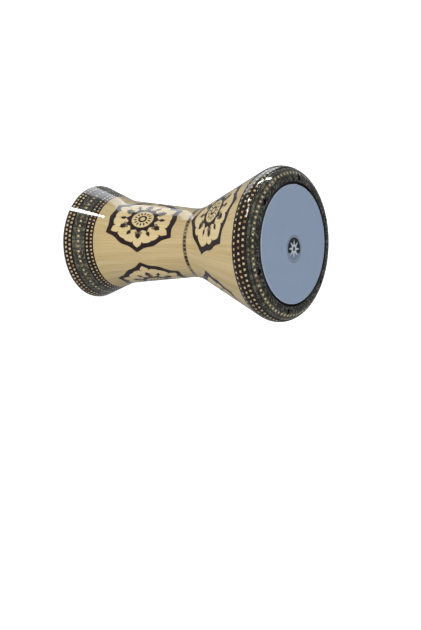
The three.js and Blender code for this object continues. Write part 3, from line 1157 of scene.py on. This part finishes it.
@dataclass
class Medallions:
    """Three medallions round the drum, and the veneer that they are set in.

    Each lies flat when unrolled, on an ellipse of millimetres along the drum and round it.
    """

    name: str
    height: float
    along: float
    round: float
    first_corner: float
    veneer: tuple[float, float]
    bulge: float = 1.5
    dip: float = 2.5
    side_steps: int = 40
    veneer_steps: int = 21

    def outline(self) -> np.ndarray:
        """The flat outline: six corners on an ellipse, joined by sides that swell in the middle.

        A side's point is its place on the straight side, moved outwards by the bulge times the
        squared sine of half a turn, less the dip times the squared sine of a whole turn.

        Returns:
            (n, 2) of millimetres along the drum and round it, from the first corner.
        """
        angles = np.radians(self.first_corner + 60 * np.arange(7))
        corners = np.column_stack([self.along * np.cos(angles), self.round * np.sin(angles)])
        share = np.arange(self.side_steps)[:, None] / self.side_steps
        sides = []
        for here, there in zip(corners[:-1], corners[1:]):
            way = there - here
            outward = np.array([way[1], -way[0]]) / np.hypot(*way)
            swell = self.bulge * np.sin(np.pi * share) ** 2 - self.dip * np.sin(2 * np.pi * share) ** 2
            sides.append(here + way * share + outward * swell)
        return np.vstack(sides)

    def rolled(self, flat: np.ndarray) -> tuple[np.ndarray, np.ndarray]:
        """Rolls flat points onto the cone that the outline makes at the medallion's height.

        The cone unrolls about its tip: a flat point's distance from the tip gives the height, and
        its bearing from the tip gives the angle round the drum.

        Args:
            flat: (..., 2) of millimetres.

        Returns:
            Angle round the drum from the medallion's middle, and height.
        """
        rise = 10 * MM
        radius = float(OUTLINE.radius(self.height))
        below, above = OUTLINE.radius(self.height - rise), OUTLINE.radius(self.height + rise)
        slope = math.atan(float(above - below) / (2 * rise))
        tip = radius / math.sin(slope)
        x, y = tip + flat[..., 0] * MM, flat[..., 1] * MM
        sign = math.copysign(1, tip)
        reach = sign * np.hypot(x, y)
        bearing = np.arctan2(sign * y, sign * x)
        return bearing / math.sin(slope), self.height + (reach - tip) * math.cos(slope)

    def on_drum(self, angle: np.ndarray, height: np.ndarray, depth: float) -> np.ndarray:
        """Points on the finished surface, or a depth under it."""
        out, up = OUTLINE.normal(height)
        return around(OUTLINE.radius(height) - depth * out, height - depth * up, angle)

    def window(self, middle: float, thickness: float, hair: float) -> Sheet:
        """A third of the veneer: it runs from the medallion's edge out to the third's four sides.

        Each of its lines starts on the outline and goes straight away from the medallion's middle
        to the side of the third; the lines nearest its corners end in them.

        Args:
            middle: angle of the medallion's middle.
            thickness: the veneer's.
            hair: the fine gap at each edge.

        Returns:
            The sheet, closed but for the two sides that meet the other thirds.
        """
        flat = self.outline()
        flat = flat * (1 + hair / MM / np.hypot(flat[:, 0], flat[:, 1]))[:, None]
        angle, height = self.rolled(np.vstack([flat, flat[:1]]))
        low, high = self.veneer[0] + hair, self.veneer[1] - hair
        half = THIRD / 2
        rise = height - self.height
        with np.errstate(divide="ignore"):
            to_side = half / np.abs(angle)
            to_end = np.where(rise > 0, (high - self.height) / rise, (low - self.height) / rise)
        far = np.minimum(to_side, np.abs(to_end))
        far_angle, far_height = angle * far, self.height + rise * far
        for corner_angle in (-half, half):
            for corner_height in (low, high):
                miss = np.abs(far_angle - corner_angle) + np.abs(far_height - corner_height) / 0.1
                nearest = int(np.argmin(miss[:-1]))
                far_angle[nearest], far_height[nearest] = corner_angle, corner_height
        far_angle[-1], far_height[-1] = far_angle[0], far_height[0]
        share = np.linspace(0, 1, self.veneer_steps + 1)[:, None]
        angles = angle + (far_angle - angle) * share
        heights = height + (far_height - height) * share
        layout = np.stack([angles / TURN, heights / MM], axis=-1)
        outer = grid_sheet(self.on_drum(angles + middle, heights, 0), layout)
        inner = grid_sheet(self.on_drum(angles + middle, heights, thickness), layout)
        first = np.arange(len(angle) - 1)
        last = first + self.veneer_steps * len(angle)
        ends = np.minimum(np.abs(far_height - low), np.abs(far_height - high)) < 1e-7
        return outer.lined(inner, layout, np.concatenate([first, last[ends[:-1] & ends[1:]]]))

    def tile(self, middle: float, thickness: float) -> Sheet:
        """One medallion: rings that shrink from its outline to its middle, over and under.

        Args:
            middle: angle of its middle.
            thickness: its own.

        Returns:
            The closed sheet; its layout is the flat place, 1 at the corners, and "rim" is the share
            of the way out to the outline.
        """
        flat = self.outline()
        flat = np.vstack([flat, flat[:1]])
        share = np.concatenate([np.linspace(0, 0.8, 25), np.linspace(0.81, 1, 20)])[:, None]
        spread = flat[None, :, :] * share[..., None]
        angle, height = self.rolled(spread)
        layout = spread / np.array([self.along, self.round])
        rim = np.broadcast_to(share, angle.shape)
        outer = grid_sheet(self.on_drum(angle + middle, height, 0), layout, rim=rim)
        inner = grid_sheet(self.on_drum(angle + middle, height, thickness), layout, rim=rim)
        return outer.lined(inner, layout, np.arange(len(flat) - 1) + (len(share) - 1) * len(flat))

    def build(self, wood: bpy.types.Material, thickness: float, hair: float) -> None:
        """Makes the veneer and its three medallions.

        Args:
            wood: the veneer's finish.
            thickness: the thickness of both.
            hair: the fine gap round each medallion.
        """
        thirds = [self.window(middle, thickness, hair) for middle in MEDALLION_ANGLES]
        veneer = put_in_blender(f"{self.name}_wood", thirds[0] + thirds[1] + thirds[2])
        show(veneer, wood, "drum", f"{self.name}_veneer")
        finish = MedallionInk().finish(f"{self.name}_medallion_inlay")
        for number, middle in enumerate(MEDALLION_ANGLES, 1):
            inlay = put_in_blender(f"{self.name}_inlay_{number}", self.tile(middle, thickness))
            show(inlay, finish, "drum", f"{self.name}_medallion_{number}")


@dataclass
class Head:
    """The film, its printed roundel and the hoop that grips it."""

    radius: float = 111 * MM
    film: float = 0.3 * MM
    bend: float = 3 * MM
    slot_middle: float = 113.0 * MM
    hoop_top: float = 456.3 * MM
    hoop_inner: float = 111.4 * MM
    hoop_outer: float = 117.1 * MM
    hoop_height: float = 7.5 * MM
    hoop_wall: float = 0.9 * MM
    slot: float = 1.4 * MM
    slot_depth: float = 4.5 * MM
    skirt_clear: float = 1 * MM

    def side(self, depth: float) -> np.ndarray:
        """One side of the film: flat, then a quarter circle, then down into the hoop's slot.

        Args:
            depth: how far under the outer face.

        Returns:
            (n, 2) of radius and height, from the middle outwards.
        """
        top, flat_radius = OUTLINE.height, self.radius - self.bend
        flat = np.column_stack([np.linspace(0, flat_radius, 24), np.full(24, top - depth)])
        bend = arc((flat_radius, top - self.bend), self.bend - depth, 90, 0, 10)
        out = self.slot_middle + self.film / 2 - depth
        skirt_end = self.hoop_top - self.slot_depth + self.skirt_clear
        return path(flat[:-1], bend, (out, self.hoop_top), (out, skirt_end))

    def build(self, film: bpy.types.Material, metal: bpy.types.Material) -> None:
        """Makes the film and the hoop.

        Args:
            film: the film's finish.
            metal: the hoop's.
        """
        sheet = turned(path(self.side(0), self.side(self.film)[::-1]), 256)
        show(put_in_blender("drumhead", sheet), film, "drum", "head_film")
        inner, outer, top = self.hoop_inner, self.hoop_outer, self.hoop_top
        bottom, slot_bottom = top - self.hoop_height, top - self.slot_depth
        wall = inner + self.hoop_wall
        section = closed(
            (inner, bottom), (outer, bottom), (outer, top), (wall + self.slot, top),
            (wall + self.slot, slot_bottom), (wall, slot_bottom), (wall, top), (inner, top))
        show(put_in_blender("flesh_hoop", turned(section, 192)), metal, "drum", "head_hoop")


@dataclass
class TensionRing:
    """The ring that pulls the head down: its metal, and the mosaic on its round edge."""

    bed: float = 1.4 * MM
    skin: float = 1 * MM
    recess: float = 117.7 * MM
    lip: float = 113.8 * MM
    lip_rounding: float = 1.6 * MM
    lip_top: float = 116 * MM
    top: float = 464.7 * MM
    hoop_clear: float = 456.6 * MM
    seam_gap: float = 0.2 * MM
    well_radius: float = 5.7 * MM
    well_floor: float = 455.6 * MM
    hole_radius: float = 3.3 * MM
    cut_below: float = 2 * MM
    cut_above: float = 3 * MM
    first_arc: float = 59.3
    circle: float = 808.0

    def skin_end(self) -> float:
        """Angle at which the round edge meets the lip."""
        inward = OUTLINE.shoulder_centre[0] - self.lip_top
        return 90 + math.degrees(math.asin(inward / OUTLINE.shoulder_radius))

    def pierced(self, name: str, sheet: Sheet, cuts: list[tuple[float, float, float]]) -> bpy.types.Object:
        """Cuts round holes through a piece at each screw.

        Args:
            name: the piece's name.
            sheet: its closed sheet.
            cuts: radius, bottom and top of each cutter.

        Returns:
            The cut piece.
        """
        piece = put_in_blender(name, sheet)
        for radius, bottom, top in cuts:
            post = turned(path((0, bottom), (radius, bottom), (radius, top), (0, top)), 40)
            posts = [post.moved(SCREW_CIRCLE, angle) for angle in SCREW_ANGLES]
            cutter = put_in_blender(f"{name}_cutter", sum(posts[1:], posts[0]))
            cut = piece.modifiers.new("holes", "BOOLEAN")
            cut.operation, cut.solver, cut.object = "DIFFERENCE", "EXACT", cutter
            bpy.context.view_layer.update()
            whole = piece.evaluated_get(bpy.context.evaluated_depsgraph_get())
            made = bpy.data.meshes.new_from_object(whole)
            piece.modifiers.clear()
            piece.data = made
            bpy.data.objects.remove(cutter)
        piece.data.shade_smooth()
        piece.data.set_sharp_from_angle(angle=CREASE)
        return piece

    def build(self, metal: bpy.types.Material) -> None:
        """Makes the ring and its mosaic, with the six screw wells cut through both.

        Args:
            metal: the ring's finish.
        """
        centre, outer = OUTLINE.shoulder_centre, OUTLINE.shoulder_radius
        under = OUTLINE.seam[1]
        end = self.skin_end()
        bedded, inner = outer - self.bed, outer - self.skin
        above = self.top + self.cut_above
        lip_centre = (self.lip + self.lip_rounding, self.top - self.lip_rounding)
        body = closed(
            (self.recess, under), arc(centre, bedded, OUTLINE.shoulder_angle(under, bedded), end, 30),
            (self.lip_top - 0.05 * MM, self.top - 0.1 * MM), (self.lip_top - 0.2 * MM, self.top),
            arc(lip_centre, self.lip_rounding, 90, 180, 8),
            (self.lip, self.hoop_clear), (self.recess, self.hoop_clear))
        ring = self.pierced("tension_ring_body", turned(refined(body, 3 * MM), 288), [
            (self.hole_radius, under - self.cut_below, self.top),
            (self.well_radius, self.well_floor, above)])
        show(ring, metal, "tension_ring", "head_ring")
        low = under + self.seam_gap
        start, inner_start = (OUTLINE.shoulder_angle(low, radius) for radius in (outer, inner))
        skin = closed(arc(centre, outer, start, end, 44), arc(centre, inner, end, inner_start, 44))
        mosaic = self.pierced("tension_ring_band", turned(skin, 360, first_arc=self.first_arc),
                              [(self.well_radius, under, above)])
        finish = Mosaic("ring_mosaic_squares", RING_ROWS, self.circle).finish()
        show(mosaic, finish, "tension_ring", "ring_mosaic")


@dataclass
class Screws:
    """The six tuning screws, their washers and the threaded inserts that they turn in."""

    head_bottom: float = 457.2 * MM
    shank: float = 3 * MM
    length: float = 22 * MM
    blunt: float = 0.8 * MM
    pitch: float = 1 * MM
    thread: float = 0.5 * MM
    thread_end: float = -0.6 * MM
    fade_length: float = 1.5 * MM
    head_radius: float = 5 * MM
    head_height: float = 4 * MM
    bevel: float = 0.5 * MM
    key: float = 4 * MM
    key_depth: float = 2.4 * MM
    key_bevel: float = 0.25 * MM
    hole: float = 3.3 * MM
    washer_radius: float = 5.2 * MM
    washer_height: float = 1 * MM
    washer_rim: float = 0.15 * MM
    washer_drop: float = 1.3 * MM
    insert_radius: float = 4.8 * MM
    insert_height: float = 17 * MM
    insert_lead: float = 0.4 * MM

    def screw(self) -> Sheet:
        """A screw on the axis, its head's underside at zero.

        Rings of points run from the tip up the shank, over the head and down into the socket. On the
        shank a ring's radius dips by the thread's depth as a triangle wave of height less turns.
        The socket's rings are six-sided: the radius is the key's half width over the cosine of the
        angle from the nearest side's middle.

        Returns:
            The closed sheet.
        """
        angle = TURN * np.arange(49) / 48
        turns, none = angle / TURN, 0 * angle
        heights = np.linspace(-self.length + self.blunt, self.thread_end, 170)
        wave = 2 * np.abs((heights[:, None] / self.pitch - turns[None, :]) % 1 - 0.5)
        fade = np.clip((self.thread_end - heights) / self.fade_length, 0, 1)[:, None]
        shank = self.shank - self.thread * wave * fade
        side = self.key / 2 / np.cos((angle + TURN / 12) % (TURN / 6) - TURN / 12)
        top, wide, bevel = self.head_height, self.head_radius, self.bevel
        socket = top - self.key_depth
        rings = [
            (none, -self.length), (none + self.shank - self.blunt, -self.length), *zip(shank, heights),
            (none + self.shank, 0.0), (none + wide, 0.0), (none + wide, top - bevel),
            (none + wide - bevel * 0.6, top - bevel * 0.15), (none + wide - bevel, top),
            (side + self.key_bevel, top), (side, top - self.key_bevel), (side, socket),
            (none, socket - 0.5 * MM),
        ]
        radius = np.stack([ring for ring, _ in rings])
        height = np.array([level for _, level in rings])[:, None] + 0 * radius
        layout = np.stack([turns + 0 * radius, height / MM], axis=-1)
        return grid_sheet(around(radius, height, angle + 0 * radius), layout)

    def washer(self) -> Sheet:
        """A washer on the axis, its underside at zero."""
        out, top, rim = self.washer_radius, self.washer_height, self.washer_rim
        return turned(closed((self.hole, 0), (out - rim, 0), (out, rim), (out, top - rim),
                             (out - rim, top), (self.hole, top)), 40)

    def insert(self) -> Sheet:
        """A threaded insert on the axis, its underside at zero."""
        hole, out, top, lead = self.hole, self.insert_radius, self.insert_height, self.insert_lead
        return turned(closed((hole, 0), (out, 0), (out, top), (hole + lead, top), (hole, top - lead)), 40)

    def build(self, steel: bpy.types.Material, dark: bpy.types.Material) -> None:
        """Makes each screw, its washer and its insert.

        Args:
            steel: the finish of screws and washers.
            dark: the inserts'.
        """
        parts = (
            (self.screw(), self.head_bottom, steel, "screw_{}_steel", "screw_{}", "tuning_screw_{}"),
            (self.washer(), self.head_bottom - self.washer_drop, steel,
             "washer_{}_steel", "tension_ring", "screw_washer_{}"),
            (self.insert(), BOSS_BOTTOM, dark, "insert_{}_steel", "drum", "thread_insert_{}"),
        )
        for number, angle in enumerate(SCREW_ANGLES, 1):
            for sheet, height, finish, *names in parts:
                name, body, node = (text.format(number) for text in names)
                piece = put_in_blender(name, sheet.moved(SCREW_CIRCLE, angle, height))
                show(piece, finish, body, node)


# ---- Studio --------------------------------------------------------------------------------------


class Part(Enum):
    """What a light does: both, only its mirror image in the gloss, or only its even light."""

    WHOLE = (True, True)
    SHINE = (False, True)
    FILL = (True, False)


@dataclass(frozen=True)
class Softbox:
    """A rectangular light: where it shines from, as seen by the camera, and how bright its face is."""

    name: str
    towards: tuple[float, float, float]
    size: tuple[float, float]
    radiance: float
    colour: Colour = (1.0, 1.0, 1.0)
    distance: float = 5.0
    part: Part = Part.WHOLE

    def watts(self) -> float:
        """Power of a face that shines evenly into half of all directions."""
        return math.pi * self.size[0] * self.size[1] * self.radiance


@dataclass(frozen=True)
class Studio:
    """A pale floor, soft lights and the camera, which lies on its side beside the standing drum.

    The head's place is in the camera's frame: metres to the right, up and back. The backdrop is
    flat to a radius, then bends up round a curve of another radius to its top.
    """

    lens: float = 80.0
    sensor: float = 36.0
    reach: float = 50.0
    head_place: tuple[float, float, float] = (0.1537643, 0.1301295, -2.575)
    half_drum: float = 230 * MM
    axis_turn: float = math.radians(54.63)
    axis_tilt: float = math.radians(-2.42)
    near_side: float = math.radians(-53.6)
    aim: float = 232 * MM
    floor_flat: float = 6.0
    floor_bend: tuple[float, float] = (7.0, 3.0)
    floor_edge: tuple[float, float] = (10.0, 14.0)
    sky: tuple[float, float, float, float] = (0.93, 0.96, 1.0, 1)
    sky_strength: float = 0.25
    lights: tuple[Softbox, ...] = (
        Softbox("key", (-0.375, 0.848, 0.375), (0.40, 0.50), 50.0),
        Softbox("strip", (0.27, 0.962, 0.03), (3.9, 0.42), 26.0, part=Part.SHINE),
        Softbox("glint", (-0.23, 0.64, 0.735), (0.5, 1.1), 20.0, part=Part.SHINE),
        Softbox("overhead", (-0.18, 0.84, -0.52), (4.6, 2.6), 2.4, (0.86, 0.92, 1.0)),
        Softbox("right", (0.70, 0.25, 0.66), (3.4, 3.0), 3.6, (0.97, 0.99, 1.0), part=Part.FILL),
        Softbox("left", (-0.88, 0.10, 0.46), (3.2, 3.2), 5.2, (1.0, 0.99, 0.96), part=Part.FILL),
        Softbox("bounce", (0.0, -0.75, 0.60), (4.5, 3.0), 1.8, (0.96, 0.98, 1.0), part=Part.FILL),
    )

    def axes(self) -> tuple[Matrix, Vector]:
        """Works out how the camera stands.

        The drum's axis, its nearest side and its upper side are known in the camera's frame and in
        the drum's, and the turn between the two frames takes each to its other self.

        Returns:
            The turn from the camera's frame to the drum's, and the camera's place.
        """
        turn, tilt = self.axis_turn, self.axis_tilt
        axis = Vector((math.cos(tilt) * math.sin(turn), math.sin(tilt), math.cos(tilt) * math.cos(turn)))
        head = Vector(self.head_place)
        view = -(head - axis * self.half_drum).normalized()
        near = (view - axis * view.dot(axis)).normalized()
        seen = Matrix((near, near.cross(axis), axis))
        side = self.near_side
        own_near = Vector((math.cos(side), math.sin(side), 0))
        own = Matrix((own_near, own_near.cross(Vector((0, 0, 1))), Vector((0, 0, 1))))
        rotation = own.transposed() @ seen
        place = Vector((0, 0, OUTLINE.height)) - rotation @ head
        return rotation, place

    def build(self) -> None:
        """Makes the camera, the lights, the floor and the world."""
        rotation, place = self.axes()
        scene = bpy.context.scene
        camera = bpy.data.objects.new("camera", bpy.data.cameras.new("camera"))
        camera.data.lens = self.lens
        camera.data.sensor_width = self.sensor
        camera.data.clip_end = self.reach
        camera.matrix_world = Matrix.Translation(place) @ rotation.to_4x4()
        scene.collection.objects.link(camera)
        scene.camera = camera
        for box in self.lights:
            scene.collection.objects.link(self.lamp(box, rotation))
        self.floor()
        self.world()
        scene.view_settings.view_transform = "Standard"
        scene.view_settings.look = "None"

    def lamp(self, box: Softbox, rotation: Matrix) -> bpy.types.Object:
        """A softbox that faces the drum's middle, level with the camera's own right.

        Args:
            box: the softbox.
            rotation: the turn from the camera's frame to the drum's.

        Returns:
            The new light.
        """
        light = bpy.data.lights.new(box.name, "AREA")
        light.shape, light.size, light.size_y = "RECTANGLE", *box.size
        light.energy, light.color = box.watts(), box.colour
        away = (rotation @ Vector(box.towards)).normalized()
        right = rotation @ Vector((1, 0, 0))
        right = (right - away * right.dot(away)).normalized()
        turn = Matrix((right, away.cross(right), away)).transposed()
        lamp = bpy.data.objects.new(box.name, light)
        place = Vector((0, 0, self.aim)) + away * box.distance
        lamp.matrix_world = Matrix.Translation(place) @ turn.to_4x4()
        lamp.visible_diffuse, lamp.visible_glossy = box.part.value
        return lamp

    def floor(self) -> None:
        """A wide pale floor that sweeps up into a far backdrop, seen only by the camera."""
        sweep = arc(self.floor_bend, self.floor_bend[1], -90, 0, 12)
        profile = path((0, 0), (self.floor_flat, 0), sweep, self.floor_edge)
        floor = put_in_blender("floor", turned(profile[::-1], 72))
        bench = Bench("pale_floor")
        tone = bench.noise(bench.here(), 3.0, 2)
        bench.dress(Base_Color=bench.mix(tone, paint(236, 236, 236), paint(240, 240, 240)), Roughness=0.9,
                    Emission_Color=(1.0, 1.0, 1.0), Emission_Strength=0.8)
        floor.data.materials.append(bench.material)
        floor.visible_diffuse = False
        floor.visible_glossy = False
        floor.visible_shadow = False

    def world(self) -> None:
        """Even pale light from all round."""
        world = bpy.data.worlds.new("surroundings")
        world.use_nodes = True
        background = world.node_tree.nodes["Background"].inputs
        background["Color"].default_value = self.sky
        background["Strength"].default_value = self.sky_strength
        bpy.context.scene.world = world


def main() -> None:
    """Builds the drum from the inside out, then the studio."""
    logging.basicConfig(level=logging.INFO, format="%(name)s: %(message)s")
    casting = Metal("cast_aluminium", paint(176, 178, 178), paint(142, 144, 146),
                    roughness=0.5, grain=420.0, relief=0.12 * MM)
    dark = Metal("dark_ring", paint(40, 36, 33), paint(26, 24, 22),
                 roughness=0.38, grain=300.0, relief=0.03 * MM, metallic=0.35)
    plain = Metal("hoop_aluminium", paint(205, 206, 208), paint(180, 182, 186),
                  roughness=0.32, grain=260.0, relief=0.02 * MM)
    steel = Metal("screw_steel", paint(200, 200, 202), paint(150, 150, 154),
                  roughness=0.26, grain=500.0, relief=0.02 * MM)
    dull = Metal("insert_steel", paint(120, 118, 114), paint(88, 86, 82),
                 roughness=0.5, grain=500.0, relief=0.03 * MM)
    Casting().build(casting.finish())
    Skins().build()
    Head().build(FilmFinish().finish(), plain.finish())
    TensionRing().build(dark.finish())
    Screws().build(steel.finish(), dull.finish())
    Studio().build()


if __name__ == "__main__":
    main()
